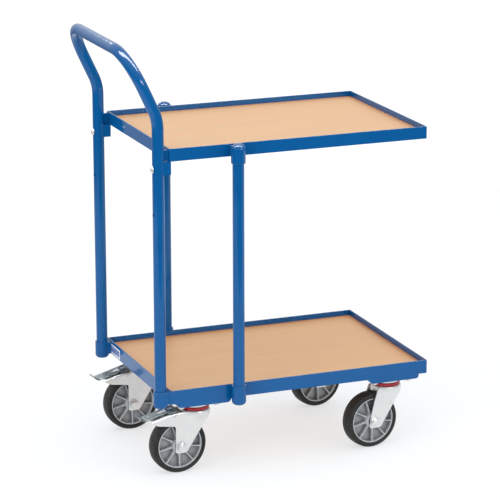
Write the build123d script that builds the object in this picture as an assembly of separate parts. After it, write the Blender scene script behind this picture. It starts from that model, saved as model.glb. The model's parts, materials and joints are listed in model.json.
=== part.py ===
from build123d import *
import math
import os

# A two-deck platform trolley with a bent push handle, two front posts and four swivel casters,
# the two at the handle end with foot brakes.
# Millimetres. The origin is on the floor below the middle of the trolley's footprint, handle included.
# +X points away from the handle, +Y to the left of a person who pushes, +Z up.

# ---- Lower frame: mitred steel angle around a board ----
FRAME_LENGTH = 600.0
FRAME_WIDTH = 422.0
FRAME_TOP = 200.0
FRAME_HEIGHT = 30.0
FRAME_CENTRE_X = 47.4

# ---- Upper frame: the same construction, a little smaller ----
SHELF_LENGTH = 589.0
SHELF_WIDTH = 409.0
SHELF_TOP = 725.0
SHELF_HEIGHT = 27.0
SHELF_CENTRE_X = 46.9

# ---- Angle section and boards ----
ANGLE_THICKNESS = 3.0
EDGE_RADIUS = 0.8
REAR_WELD_RADIUS = 6.0
BOARD_DROP = 12.0
BOARD_CLEARANCE = 0.5

# ---- Tubes, their sockets and the handle ----
TUBE_RADIUS = 12.5
TUBE_WALL = 2.0
SOCKET_RADIUS = 15.5
SOCKET_BORE = 12.6
SOCKET_FLOOR = 4.0
SOCKET_ROUNDING = 8.0
SOCKET_WEB_LIFT = 0.5
SOCKET_WEB_DROP = 1.0
LEG_X = -269.9
LEG_Y = 196.0
LEG_SOCKET_BOTTOM = 160.5
LEG_SOCKET_TOP = 198.5
LEG_WEB = 28.0
POST_X = -103.6
POST_Y = 228.3
POST_WEB = 13.0
POST_SOCKET_BOTTOM = 158.5
POST_SOCKET_TOP = 202.0
POST_HEAD_BOTTOM = 687.0
POST_HEAD_TOP = 729.5
POST_HEAD_CAP = 6.0
POST_HEAD_ROUNDING = 12.0
POST_HEAD_CHAMFER = 1.5
POST_HEAD_WEB_DROP = 5.0
HANDLE_KNEE_Z = 788.0
HANDLE_KNEE_RADIUS = 96.0
HANDLE_BAR_X = -334.9
HANDLE_BAR_Z = 927.5
HANDLE_CORNER_RADIUS = 80.0

# ---- Shelf brackets and the holes in the legs ----
BRACKET_WIDTH = 22.0
BRACKET_NECK = 6.0
BRACKET_FRONT_X = -245.0
BRACKET_BOTTOM = 670.5
BRACKET_TOP = 722.0
BRACKET_WRAP = 4.0
BRACKET_CLEARANCE = 0.05
SHELF_BOLT_Z = 682.0
SPARE_HOLE_Z = 585.0
SPARE_HOLE_RADIUS = 4.5
SHELF_BOLT_RADIUS = 4.0
SHELF_BOLT_HEAD_RADIUS = 7.5
SHELF_BOLT_HEAD_HEIGHT = 4.0
SHELF_BOLT_HEAD_ROUNDING = 3.5

# ---- Caster pads pressed from sheet, one below each corner; X is measured from the frame's middle ----
PAD_INNER_X = 155.0
PAD_OUTER_X = 289.0
PAD_INNER_FLANK = 16.0
PAD_OUTER_FLANK = 12.0
PAD_DEPTH = 10.0
PAD_INNER_Y = 95.0
PAD_SHEET = 2.5
PAD_OUTER_CORNER = 20.0
PAD_INNER_CORNER = 8.0

# ---- Casters ----
WHEEL_RADIUS = 62.5
TYRE_HALF_WIDTH = 16.0
TYRE_CROWN = 0.6
TYRE_SHOULDER = 5.0
RIM_RADIUS = 51.0
SWIVEL_X = 226.0
SWIVEL_Y = 155.5
TRAIL = 41.0
PLATE_LENGTH = 105.0
PLATE_WIDTH = 85.0
PLATE_THICKNESS = 3.5
PLATE_CORNER = 8.0
BOLT_SPACING_X = 80.0
BOLT_SPACING_Y = 60.0
BOLT_RADIUS = 4.0
BOLT_HOLE_RADIUS = 4.5
BOLT_HEAD_FLATS = 13.0
BOLT_HEAD_HEIGHT = 5.0
NUT_HEIGHT = 6.5
BOLT_END = 1.0

# Swivel head, listed downwards from the plate
BOSS_RADIUS = 30.0
BOSS_DEPTH = 10.0
BOSS_ROUNDING = 2.0
RACE_RADIUS = 26.5
RACE_DEPTH = 0.5
SEAL_INNER = 26.8
SEAL_OUTER = 31.5
SEAL_BOTTOM = 139.8
SEAL_CHAMFER = 1.2
CROWN_TOP = 139.5
CROWN_THICKNESS = 3.5
CROWN_RADIUS = 34.0
CROWN_SKIRT = 5.5
CROWN_ROUNDING = 2.0
KINGPIN_RADIUS = 6.0
KINGPIN_CLEARANCE = 0.1
KINGPIN_FLANGE_RADIUS = 18.0
KINGPIN_FLANGE_HEIGHT = 3.0
BALL_RADIUS = 3.0
BALL_CIRCLE = 21.5
BALL_COUNT = 12

# Fork legs; each outline is (distance ahead of the axle, height)
FORK_INNER = 19.0
FORK_SHEET = 3.0
PLAIN_FORK_OUTLINE = [(-12, 47), (14, 47), (17, 51), (67, 127), (67, 138.5), (8, 138.5), (6.5, 131),
                      (-12.5, 53)]
BRAKED_FORK_OUTLINE = [(-12, 47), (11, 47), (14, 51), (68, 129), (68, 138.5), (1, 138.5), (-24, 137),
                       (-47, 132.2), (-70, 126), (-68, 121.5), (-55, 116.5), (-17, 109.5), (-12.5, 105),
                       (-12.5, 51)]

# Axle and wheel
AXLE_RADIUS = 6.0
AXLE_CLEARANCE = 0.05
AXLE_FLATS = 17.0
AXLE_HEAD_HEIGHT = 6.5
HUB_RADIUS = 17.0
HUB_HALF_WIDTH = 18.4
BEARING_RADIUS = 12.0
BEARING_HALF_WIDTH = 18.0
RIM_LIP = 3.5
RIM_HALF_WIDTH = 15.0
RIM_OVERLAP = 1.0
WEB_HALF_THICKNESS = 3.0
RIB_COUNT = 9
RIB_THICKNESS = 3.4
RIB_HALF_HEIGHT = 12.5

# Foot brake, on the two rear casters
PEDAL_WIDTH = 31.0
PEDAL_SHEET = 2.5
PEDAL_SLOPE = 14.3
PEDAL_LENGTH = 72.0
PEDAL_LIP = 15.0
PEDAL_LIP_ANGLE = 42.0
PEDAL_HINGE_X = -52.7
PEDAL_HINGE_Z = 130.0
PEDAL_HINGE_RADIUS = 3.0
PEDAL_RISE = 15.2
PEDAL_FRONT_REACH = 5.0
PEDAL_EAR_RADIUS = 5.0
PEDAL_EAR_LENGTH = 26.0
PEDAL_EAR_DROP = 7.0
PEDAL_SLOT_AT = 26.0
PEDAL_SLOT_LENGTH = 14.0
PEDAL_SLOT_WIDTH = 8.0
PEDAL_RIDGES = 3
PEDAL_RIDGES_FROM = 44.0
PEDAL_RIDGE_PITCH = 9.0
PEDAL_RIDGE_LENGTH = 21.0
PEDAL_RIDGE_WIDTH = 3.0
PEDAL_RIDGE_HEIGHT = 0.8
PIN_HEAD_RADIUS = 3.8
PIN_HEAD_HEIGHT = 1.2
BRAKE_SHOE_REACH = 20.0
BRAKE_SHOE_WIDTH = 22.0
BRAKE_SHOE_THICKNESS = 6.0
BRAKE_SHOE_TIP_Z = 122.8
BRAKE_SHOE_TOP_Z = 139.0

# Each caster: side along X, side along Y, degrees swung about its kingpin, and whether it has a brake
CASTERS = {
    "rear_left": (-1, 1, 4.0, True),
    "rear_right": (-1, -1, 4.0, True),
    "front_left": (1, 1, 10.0, False),
    "front_right": (1, -1, 7.0, False),
}

FRAME_BOTTOM = FRAME_TOP - FRAME_HEIGHT
PAD_BOTTOM = FRAME_BOTTOM - PAD_DEPTH
PLATE_BOTTOM = PAD_BOTTOM - PLATE_THICKNESS
SIDES = {"left": 1, "right": -1}

# How far a cutting shape reaches past what it cuts
PAST = 1.0


# ---- Shared shapes ----

def box_between(low, high):
    size = [b - a for a, b in zip(low, high)]
    middle = [(a + b) / 2 for a, b in zip(low, high)]
    return Pos(*middle) * Box(*size)


def post_between(radius, bottom, top):
    return Pos(0, 0, (bottom + top) / 2) * Cylinder(radius, top - bottom)


def ring_between(outer, inner, bottom, top):
    return post_between(outer, bottom, top) - post_between(inner, bottom - PAST, top + PAST)


def rod_along(direction, radius, start, end):
    """A cylinder along +X or +Y through the origin, from one distance to another."""
    turn = Rot(0, 90, 0) if direction == "x" else Rot(-90, 0, 0)
    return turn * post_between(radius, start, end)


def hexagon_between(flats, bottom, top):
    sketch = RegularPolygon(flats / 2, 6, major_radius=False)
    return Pos(0, 0, bottom) * extrude(sketch, top - bottom)


def plate_from_outline(points, half_width):
    """A plate with its outline in the XZ plane, centred on Y."""
    face = make_face(Polyline(*[(x, 0, z) for x, z in points], close=True))
    return extrude(face, half_width, both=True)


# ---- Frames and boards ----

def angle_frame(length, width, height, top, centre_x):
    """One ring of angle section: an upright wall, with a ledge turned inwards at its foot."""
    place = Pos(centre_x, 0, top - height)
    outer = Box(length, width, height, align=(Align.CENTER, Align.CENTER, Align.MIN))
    outer = fillet(outer.edges().filter_by(Axis.Z), ANGLE_THICKNESS / 2)
    well = Pos(0, 0, ANGLE_THICKNESS) * Box(
        length - 2 * ANGLE_THICKNESS, width - 2 * ANGLE_THICKNESS, height,
        align=(Align.CENTER, Align.CENTER, Align.MIN))
    rear_corners = well.edges().filter_by(Axis.Z).group_by(Axis.X)[0]
    well = fillet(rear_corners, REAR_WELD_RADIUS)
    opening = Box(length - 2 * height, width - 2 * height, height)
    ring = outer - well - opening
    ring = fillet(ring.edges().group_by(Axis.Z)[-1], EDGE_RADIUS)
    return place * ring


def mitred_rails(length, width, height, top, centre_x):
    """The four rails of a frame, each cut off at 45 degrees at both ends."""
    ring = angle_frame(length, width, height, top, centre_x)
    half_length = length / 2 + PAST
    half_width = width / 2 + PAST
    apex = half_length - half_width
    outlines = {
        "front": [(apex, 0), (half_length, -half_width), (half_length, half_width)],
        "rear": [(-apex, 0), (-half_length, half_width), (-half_length, -half_width)],
        "left": [(-apex, 0), (apex, 0), (half_length, half_width), (-half_length, half_width)],
        "right": [(apex, 0), (-apex, 0), (-half_length, -half_width), (half_length, -half_width)],
    }
    rails = {}
    for side, outline in outlines.items():
        wedge = extrude(make_face(Polyline(*outline, close=True)), height + 2 * PAST)
        rails[side] = ring & (Pos(centre_x, 0, top - height - PAST) * wedge)
    return rails


def board(length, width, height, top, centre_x):
    """The deck board, lying on the ledge inside its frame."""
    gap = 2 * (ANGLE_THICKNESS + BOARD_CLEARANCE)
    thickness = height - ANGLE_THICKNESS - BOARD_DROP
    sheet = Box(length - gap, width - gap, thickness, align=(Align.CENTER, Align.CENTER, Align.MAX))
    sheet = fillet(sheet.edges().filter_by(Axis.Z), REAR_WELD_RADIUS + 1)
    return Pos(centre_x, 0, top - BOARD_DROP) * sheet


# ---- Tubes ----

def bend(before, corner, after, radius):
    """Start, middle and end of the arc that rounds one corner of a tube's centreline."""
    back = (before - corner).normalized()
    ahead = (after - corner).normalized()
    half_angle = math.radians(back.get_angle(ahead) / 2)
    reach = radius / math.tan(half_angle)
    centre = corner + (back + ahead).normalized() * (radius / math.sin(half_angle))
    middle = centre + (corner - centre).normalized() * radius
    return corner + back * reach, middle, corner + ahead * reach


def handle_centreline():
    """Up the right leg, back at the knee, across the bar, and down the left leg."""
    foot = LEG_SOCKET_BOTTOM + SOCKET_FLOOR
    corners = [
        Vector(LEG_X, -LEG_Y, foot),
        Vector(LEG_X, -LEG_Y, HANDLE_KNEE_Z),
        Vector(HANDLE_BAR_X, -LEG_Y, HANDLE_BAR_Z),
        Vector(HANDLE_BAR_X, LEG_Y, HANDLE_BAR_Z),
        Vector(LEG_X, LEG_Y, HANDLE_KNEE_Z),
        Vector(LEG_X, LEG_Y, foot),
    ]
    radii = [HANDLE_KNEE_RADIUS, HANDLE_CORNER_RADIUS, HANDLE_CORNER_RADIUS, HANDLE_KNEE_RADIUS]
    edges = []
    last = corners[0]
    for index, radius in enumerate(radii, start=1):
        start, middle, end = bend(corners[index - 1], corners[index], corners[index + 1], radius)
        edges.append(Edge.make_line(last, start))
        edges.append(Edge.make_three_point_arc(start, middle, end))
        last = end
    edges.append(Edge.make_line(last, corners[-1]))
    return Wire(edges)


def handle_tube():
    """One bent tube, with a bolt hole and a spare hole through each leg."""
    path = handle_centreline()
    start = Plane(origin=path @ 0, z_dir=(0, 0, 1))
    outside = sweep(start * Circle(TUBE_RADIUS), path)
    inside = sweep(start * Circle(TUBE_RADIUS - TUBE_WALL), path)
    tube = outside - inside
    for side in SIDES.values():
        for height, radius in ((SHELF_BOLT_Z, SHELF_BOLT_RADIUS), (SPARE_HOLE_Z, SPARE_HOLE_RADIUS)):
            hole = rod_along("x", radius, -2 * TUBE_RADIUS, 2 * TUBE_RADIUS)
            tube -= Pos(LEG_X, side * LEG_Y, height) * hole
    return tube


def post_tube(side):
    bottom = POST_SOCKET_BOTTOM + SOCKET_FLOOR
    top = POST_HEAD_TOP - POST_HEAD_CAP
    return Pos(POST_X, side * POST_Y, 0) * ring_between(TUBE_RADIUS, TUBE_RADIUS - TUBE_WALL, bottom, top)


# ---- Sockets: short sleeves with a rounded closed end and a web to the frame ----

def socket(bottom, top, web_end, web_width):
    """A socket on the Z axis, closed below. Its web runs along +X to web_end."""
    body = post_between(SOCKET_RADIUS, bottom, top)
    body = fillet(body.edges().group_by(Axis.Z)[0], SOCKET_ROUNDING)
    body = fillet(body.edges().group_by(Axis.Z)[-1], EDGE_RADIUS)
    half = web_width / 2
    web = box_between((0, -half, FRAME_BOTTOM + SOCKET_WEB_LIFT), (web_end, half, top - SOCKET_WEB_DROP))
    return body + web - post_between(SOCKET_BORE, bottom + SOCKET_FLOOR, top + PAST)


def leg_socket(side):
    web_end = FRAME_CENTRE_X - FRAME_LENGTH / 2 - LEG_X
    body = socket(LEG_SOCKET_BOTTOM, LEG_SOCKET_TOP, web_end, LEG_WEB)
    return Pos(LEG_X, side * LEG_Y, 0) * body


def post_foot(side):
    web_end = POST_Y - FRAME_WIDTH / 2
    body = socket(POST_SOCKET_BOTTOM, POST_SOCKET_TOP, web_end, POST_WEB)
    return Pos(POST_X, side * POST_Y, 0) * Rot(0, 0, -90 * side) * body


def post_head(side):
    """The domed cap that joins the top of a front post to the shelf's side rail."""
    body = post_between(SOCKET_RADIUS, POST_HEAD_BOTTOM, POST_HEAD_TOP)
    body = fillet(body.edges().group_by(Axis.Z)[-1], POST_HEAD_ROUNDING)
    body = chamfer(body.edges().group_by(Axis.Z)[0], POST_HEAD_CHAMFER)
    reach = POST_Y - SHELF_WIDTH / 2
    web_low = SHELF_TOP - SHELF_HEIGHT + SOCKET_WEB_DROP
    web = box_between((0, -POST_WEB / 2, web_low), (reach, POST_WEB / 2, SHELF_TOP - POST_HEAD_WEB_DROP))
    head = body + web - post_between(SOCKET_BORE, POST_HEAD_BOTTOM - PAST, POST_HEAD_TOP - POST_HEAD_CAP)
    return Pos(POST_X, side * POST_Y, 0) * Rot(0, 0, -90 * side) * head


# ---- Shelf brackets, between the handle's legs and the shelf's rear rail ----

def shelf_bracket(side):
    """A block below the shelf's rear rail that fits round the leg, and a thin neck welded to the rail."""
    half = BRACKET_WIDTH / 2
    half_neck = BRACKET_NECK / 2
    rear = LEG_X + BRACKET_WRAP
    shelf_rear = SHELF_CENTRE_X - SHELF_LENGTH / 2
    block = box_between((rear, -half, BRACKET_BOTTOM), (BRACKET_FRONT_X, half, SHELF_TOP - SHELF_HEIGHT))
    neck = box_between((rear, -half_neck, BRACKET_BOTTOM), (shelf_rear, half_neck, BRACKET_TOP))
    saddle = post_between(TUBE_RADIUS + BRACKET_CLEARANCE, BRACKET_BOTTOM - PAST, BRACKET_TOP + PAST)
    hole = rod_along("x", SHELF_BOLT_RADIUS, 0, BRACKET_FRONT_X - LEG_X + PAST)
    body = block + neck - Pos(LEG_X, 0, 0) * saddle - Pos(LEG_X, 0, SHELF_BOLT_Z) * hole
    return Pos(0, side * LEG_Y, 0) * body


def shelf_bolt(side):
    """A cup-head bolt through a leg, screwed into its bracket."""
    head = rod_along("x", SHELF_BOLT_HEAD_RADIUS, -TUBE_RADIUS - SHELF_BOLT_HEAD_HEIGHT, -TUBE_RADIUS)
    head = fillet(head.edges().group_by(Axis.X)[0], SHELF_BOLT_HEAD_ROUNDING)
    shank = rod_along("x", SHELF_BOLT_RADIUS, -TUBE_RADIUS, BRACKET_FRONT_X - LEG_X - BOLT_END)
    return Pos(LEG_X, side * LEG_Y, SHELF_BOLT_Z) * (head + shank)


# ---- Caster pads ----

def pad_outline(inset):
    """A dish's section along X: flat below, rising at both ends in an S of two equal arcs."""
    inner = PAD_INNER_X + inset
    outer = PAD_OUTER_X - inset
    top = FRAME_BOTTOM
    bottom = PAD_BOTTOM + inset
    middle = (top + bottom) / 2
    foot_inner = inner + PAD_INNER_FLANK
    foot_outer = outer - PAD_OUTER_FLANK
    edges = [
        Edge.make_line((outer, 0, top), (inner, 0, top)),
        Edge.make_tangent_arc((inner, 0, top), (1, 0, 0), (inner + PAD_INNER_FLANK / 2, 0, middle)),
        Edge.make_tangent_arc((foot_inner, 0, bottom), (-1, 0, 0), (inner + PAD_INNER_FLANK / 2, 0, middle)),
        Edge.make_line((foot_inner, 0, bottom), (foot_outer, 0, bottom)),
        Edge.make_tangent_arc((foot_outer, 0, bottom), (1, 0, 0), (outer - PAD_OUTER_FLANK / 2, 0, middle)),
        Edge.make_tangent_arc((outer, 0, top), (-1, 0, 0), (outer - PAD_OUTER_FLANK / 2, 0, middle)),
    ]
    return make_face(Wire(edges))


def pad_block(inset):
    """The dish as a solid: its section drawn out along Y, with its corners rounded in plan."""
    start = PAD_INNER_Y + inset
    end = FRAME_WIDTH / 2 - inset
    block = Pos(0, end, 0) * extrude(pad_outline(inset), end - start, dir=(0, -1, 0))
    plan = box_between((PAD_INNER_X + inset, start, PAD_BOTTOM), (PAD_OUTER_X - inset, end, FRAME_BOTTOM))
    outer_uprights = plan.edges().filter_by(Axis.Z).group_by(Axis.X)[-1]
    plan = fillet(outer_uprights.sort_by(Axis.Y)[-1], PAD_OUTER_CORNER - inset)
    inner_uprights = plan.edges().filter_by(Axis.Z).group_by(Axis.X)[0]
    plan = fillet(inner_uprights, PAD_INNER_CORNER - inset)
    return block & plan


def bolt_places():
    return [(x * BOLT_SPACING_X / 2, y * BOLT_SPACING_Y / 2) for x in (-1, 1) for y in (-1, 1)]


def caster_pad(side_x, side_y):
    """A pressed dish, open above, that carries one caster below a corner of the frame."""
    dish = pad_block(0) - pad_block(PAD_SHEET)
    if side_x < 0:
        dish = mirror(dish, Plane.YZ)
    if side_y < 0:
        dish = mirror(dish, Plane.XZ)
    for x, y in bolt_places():
        hole = post_between(BOLT_HOLE_RADIUS, PAD_BOTTOM - PAST, PAD_BOTTOM + PAD_SHEET + PAST)
        dish -= Pos(side_x * SWIVEL_X + x, side_y * SWIVEL_Y + y, 0) * hole
    return Pos(FRAME_CENTRE_X, 0, 0) * dish


# ---- Caster pieces, with the kingpin on the Z axis and the wheel trailing towards -X ----

def top_plate():
    plate = Box(PLATE_LENGTH, PLATE_WIDTH, PLATE_THICKNESS)
    plate = fillet(plate.edges().filter_by(Axis.Z), PLATE_CORNER)
    plate = Pos(0, 0, PLATE_BOTTOM + PLATE_THICKNESS / 2) * plate
    for x, y in bolt_places():
        plate -= Pos(x, y, 0) * post_between(BOLT_HOLE_RADIUS, PLATE_BOTTOM - PAST, PAD_BOTTOM + PAST)
    boss_bottom = PLATE_BOTTOM - BOSS_DEPTH
    boss = post_between(BOSS_RADIUS, boss_bottom, PLATE_BOTTOM)
    boss = fillet(boss.edges().group_by(Axis.Z)[0], BOSS_ROUNDING)
    race = post_between(RACE_RADIUS, boss_bottom - RACE_DEPTH, boss_bottom)
    return plate + boss + race - post_between(KINGPIN_RADIUS, 0, PAD_BOTTOM + PAST)


def kingpin():
    """The rivet that holds the fork's crown up against the balls."""
    flange_top = CROWN_TOP - CROWN_THICKNESS - KINGPIN_CLEARANCE
    flange = post_between(KINGPIN_FLANGE_RADIUS, flange_top - KINGPIN_FLANGE_HEIGHT, flange_top)
    return flange + post_between(KINGPIN_RADIUS, flange_top - KINGPIN_FLANGE_HEIGHT, PAD_BOTTOM)


def swivel_seal():
    top = PLATE_BOTTOM - BOSS_DEPTH
    seal = ring_between(SEAL_OUTER, SEAL_INNER, SEAL_BOTTOM, top)
    return chamfer(seal.edges().filter_by(GeomType.CIRCLE).sort_by(SortBy.RADIUS)[-2:], SEAL_CHAMFER)


def swivel_balls():
    centre = CROWN_TOP + BALL_RADIUS + KINGPIN_CLEARANCE
    return [Pos(0, 0, centre) * loc * Sphere(BALL_RADIUS)
            for loc in PolarLocations(BALL_CIRCLE, BALL_COUNT)]


def plate_bolt():
    head_bottom = PAD_BOTTOM + PAD_SHEET
    head = hexagon_between(BOLT_HEAD_FLATS, head_bottom, head_bottom + BOLT_HEAD_HEIGHT)
    return head + post_between(BOLT_RADIUS, PLATE_BOTTOM - NUT_HEIGHT - BOLT_END, head_bottom)


def plate_nut():
    nut = hexagon_between(BOLT_HEAD_FLATS, PLATE_BOTTOM - NUT_HEIGHT, PLATE_BOTTOM)
    return nut - post_between(BOLT_RADIUS, 0, PLATE_BOTTOM + PAST)


def fork(braked):
    """A pressed fork: a round crown under the balls and a leg on each side of the wheel."""
    half_width = FORK_INNER + FORK_SHEET
    outline = [(x - TRAIL, z) for x, z in (BRAKED_FORK_OUTLINE if braked else PLAIN_FORK_OUTLINE)]
    legs = plate_from_outline(outline, half_width) - plate_from_outline(outline, FORK_INNER)
    crown = post_between(CROWN_RADIUS, CROWN_TOP - CROWN_THICKNESS, CROWN_TOP)
    skirt_bottom = CROWN_TOP - CROWN_THICKNESS - CROWN_SKIRT
    skirt = ring_between(CROWN_RADIUS, CROWN_RADIUS - FORK_SHEET, skirt_bottom, CROWN_TOP)
    skirt = fillet(skirt.edges().group_by(Axis.Z)[-1].sort_by(SortBy.RADIUS)[-1], CROWN_ROUNDING)
    crown = fillet(crown.edges().group_by(Axis.Z)[-1], CROWN_ROUNDING)
    body = legs + crown + skirt
    body -= post_between(KINGPIN_RADIUS + KINGPIN_CLEARANCE, 0, CROWN_TOP + PAST)
    axle_hole = rod_along("y", AXLE_RADIUS, -half_width - PAST, half_width + PAST)
    body -= Pos(-TRAIL, 0, WHEEL_RADIUS) * axle_hole
    if braked:
        pivot = rod_along("y", PEDAL_HINGE_RADIUS, -half_width - PAST, half_width + PAST)
        body -= Pos(PEDAL_HINGE_X, 0, PEDAL_HINGE_Z) * pivot
    return body


def axle_set():
    """The axle bolt and its nut, two separate solids."""
    outside = FORK_INNER + FORK_SHEET
    end = outside + AXLE_HEAD_HEIGHT
    shank = rod_along("y", AXLE_RADIUS, -end - BOLT_END, outside)
    head = Rot(-90, 0, 0) * hexagon_between(AXLE_FLATS, outside, end)
    nut = Rot(-90, 0, 0) * hexagon_between(AXLE_FLATS, -end, -outside)
    nut -= rod_along("y", AXLE_RADIUS, -end - PAST, -outside + PAST)
    place = Pos(-TRAIL, 0, WHEEL_RADIUS)
    return [place * (shank + head), place * nut]


def wheel_turn():
    """Stands a shape made about the Z axis on its rim, on the axle."""
    return Pos(-TRAIL, 0, WHEEL_RADIUS) * Rot(90, 0, 0)


def tyre():
    """A solid tyre with nearly flat flanks, rounded shoulders and a slightly crowned tread."""
    inner_low, inner_high = [(RIM_RADIUS, 0, side * RIM_HALF_WIDTH) for side in (-1, 1)]
    outer_low, outer_high = [(WHEEL_RADIUS - TYRE_CROWN, 0, side * TYRE_HALF_WIDTH) for side in (-1, 1)]
    section = make_face(Wire([
        Edge.make_line(inner_low, inner_high),
        Edge.make_line(inner_high, outer_high),
        Edge.make_three_point_arc(outer_high, (WHEEL_RADIUS, 0, 0), outer_low),
        Edge.make_line(outer_low, inner_low),
    ]))
    section = fillet(section.vertices().group_by(Axis.X)[-1], TYRE_SHOULDER)
    return wheel_turn() * revolve(section, Axis.Z)


def rim():
    """A plastic rim: a barrel, a thin web with ribs on both faces, and a hub."""
    barrel = ring_between(RIM_RADIUS, RIM_RADIUS - RIM_LIP, -RIM_HALF_WIDTH, RIM_HALF_WIDTH)
    web = post_between(RIM_RADIUS - RIM_OVERLAP, -WEB_HALF_THICKNESS, WEB_HALF_THICKNESS)
    hub = post_between(HUB_RADIUS, -HUB_HALF_WIDTH, HUB_HALF_WIDTH)
    body = barrel + web + hub
    rib = box_between((HUB_RADIUS - RIM_OVERLAP, -RIB_THICKNESS / 2, -RIB_HALF_HEIGHT),
                      (RIM_RADIUS - 2 * RIM_OVERLAP, RIB_THICKNESS / 2, RIB_HALF_HEIGHT))
    for index in range(RIB_COUNT):
        body += Rot(0, 0, index * 360 / RIB_COUNT - 90) * rib
    bore = post_between(BEARING_RADIUS, -HUB_HALF_WIDTH - PAST, HUB_HALF_WIDTH + PAST)
    return wheel_turn() * (body - bore)


def bearing():
    bore = AXLE_RADIUS + AXLE_CLEARANCE
    return wheel_turn() * ring_between(BEARING_RADIUS, bore, -BEARING_HALF_WIDTH, BEARING_HALF_WIDTH)


def pedal_top(distance):
    """A point of the pedal's centre plane, measured down its slope from above the hinge."""
    slope = math.radians(PEDAL_SLOPE)
    x = PEDAL_HINGE_X - distance * math.cos(slope)
    z = PEDAL_HINGE_Z + PEDAL_RISE - distance * math.sin(slope)
    return x, z


def pedal_plate():
    """The tread: a sloping strap with a toe lip turned up at its end."""
    slope = math.radians(PEDAL_SLOPE)
    lip = math.radians(PEDAL_LIP_ANGLE)
    down = (math.sin(slope) * PEDAL_SHEET, -math.cos(slope) * PEDAL_SHEET)
    front = pedal_top(-PEDAL_FRONT_REACH)
    knee = pedal_top(PEDAL_LENGTH)
    toe = (knee[0] - PEDAL_LIP * math.cos(lip), knee[1] + PEDAL_LIP * math.sin(lip))
    toe_under = (toe[0] - math.sin(lip) * PEDAL_SHEET, toe[1] - math.cos(lip) * PEDAL_SHEET)
    knee_under = (knee[0] - math.tan(slope / 2 + lip / 2) * PEDAL_SHEET / 2, knee[1] - PEDAL_SHEET)
    front_under = (front[0] + down[0], front[1] + down[1])
    return plate_from_outline([front, knee, toe, toe_under, knee_under, front_under], PEDAL_WIDTH / 2)


def pedal_on_slope(distance, shape):
    x, z = pedal_top(distance)
    return Pos(x, 0, z) * Rot(0, -PEDAL_SLOPE, 0) * shape


def pedal_ears():
    """Two ears that hang from the tread on each side, with the hinge pin through them."""
    x, z = PEDAL_HINGE_X, PEDAL_HINGE_Z
    top = z + PEDAL_RISE - PEDAL_SHEET / 2
    half = PEDAL_WIDTH / 2
    outline = [(x + PEDAL_EAR_RADIUS, z), (x + PEDAL_EAR_RADIUS, top),
               (x - PEDAL_EAR_LENGTH, top - PEDAL_EAR_DROP), (x - PEDAL_EAR_RADIUS, z)]
    flank = plate_from_outline(outline, half)
    flank += Pos(x, 0, z) * rod_along("y", PEDAL_EAR_RADIUS, -half, half)
    inside = half - PEDAL_SHEET
    return flank - box_between((x - PEDAL_LENGTH, -inside, 0), (x + PEDAL_LENGTH, inside, z + PEDAL_LENGTH))


def brake_shoe():
    middle = PEDAL_HINGE_X - BRAKE_SHOE_REACH
    half_thickness = BRAKE_SHOE_THICKNESS / 2
    half_width = BRAKE_SHOE_WIDTH / 2
    return box_between((middle - half_thickness, -half_width, BRAKE_SHOE_TIP_Z),
                       (middle + half_thickness, half_width, BRAKE_SHOE_TOP_Z))


def brake_pedal():
    """The pressed pedal: tread with a slot and grip ridges, two ears, and a shoe over the tyre."""
    tread = pedal_plate()
    tread -= pedal_on_slope(PEDAL_SLOT_AT, Box(PEDAL_SLOT_LENGTH, PEDAL_SLOT_WIDTH, 4 * PEDAL_SHEET))
    ridge = Box(PEDAL_RIDGE_WIDTH, PEDAL_RIDGE_LENGTH, 2 * PEDAL_RIDGE_HEIGHT)
    for index in range(PEDAL_RIDGES):
        tread += pedal_on_slope(PEDAL_RIDGES_FROM + index * PEDAL_RIDGE_PITCH, ridge)
    pin_hole = rod_along("y", PEDAL_HINGE_RADIUS + AXLE_CLEARANCE, -PEDAL_WIDTH, PEDAL_WIDTH)
    return tread + pedal_ears() + brake_shoe() - Pos(PEDAL_HINGE_X, 0, PEDAL_HINGE_Z) * pin_hole


def brake_pin():
    """The riveted pin that the pedal turns on."""
    outside = FORK_INNER + FORK_SHEET
    pin = rod_along("y", PEDAL_HINGE_RADIUS, -outside, outside)
    for start in (-outside - PIN_HEAD_HEIGHT, outside):
        pin += rod_along("y", PIN_HEAD_RADIUS, start, start + PIN_HEAD_HEIGHT)
    return Pos(PEDAL_HINGE_X, 0, PEDAL_HINGE_Z) * pin


# ---- The whole trolley ----

def frame_nodes():
    nodes = {}
    lower = (FRAME_LENGTH, FRAME_WIDTH, FRAME_HEIGHT, FRAME_TOP, FRAME_CENTRE_X)
    upper = (SHELF_LENGTH, SHELF_WIDTH, SHELF_HEIGHT, SHELF_TOP, SHELF_CENTRE_X)
    for level, sizes in (("lower", lower), ("upper", upper)):
        for side, rail in mitred_rails(*sizes).items():
            nodes[f"{level}_rail_{side}"] = rail
        nodes[f"{level}_board"] = board(*sizes)
    return nodes


def column_nodes():
    nodes = {"handle_tube": handle_tube()}
    for name, side in SIDES.items():
        nodes[f"leg_socket_{name}"] = leg_socket(side)
        nodes[f"post_{name}"] = post_tube(side)
        nodes[f"post_foot_{name}"] = post_foot(side)
        nodes[f"post_head_{name}"] = post_head(side)
        nodes[f"shelf_bracket_{name}"] = shelf_bracket(side)
    nodes["shelf_bolts"] = Compound(children=[shelf_bolt(side) for side in SIDES.values()])
    return nodes


def at_bolt_places(piece):
    return [Pos(x, y, 0) * piece for x, y in bolt_places()]


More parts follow.
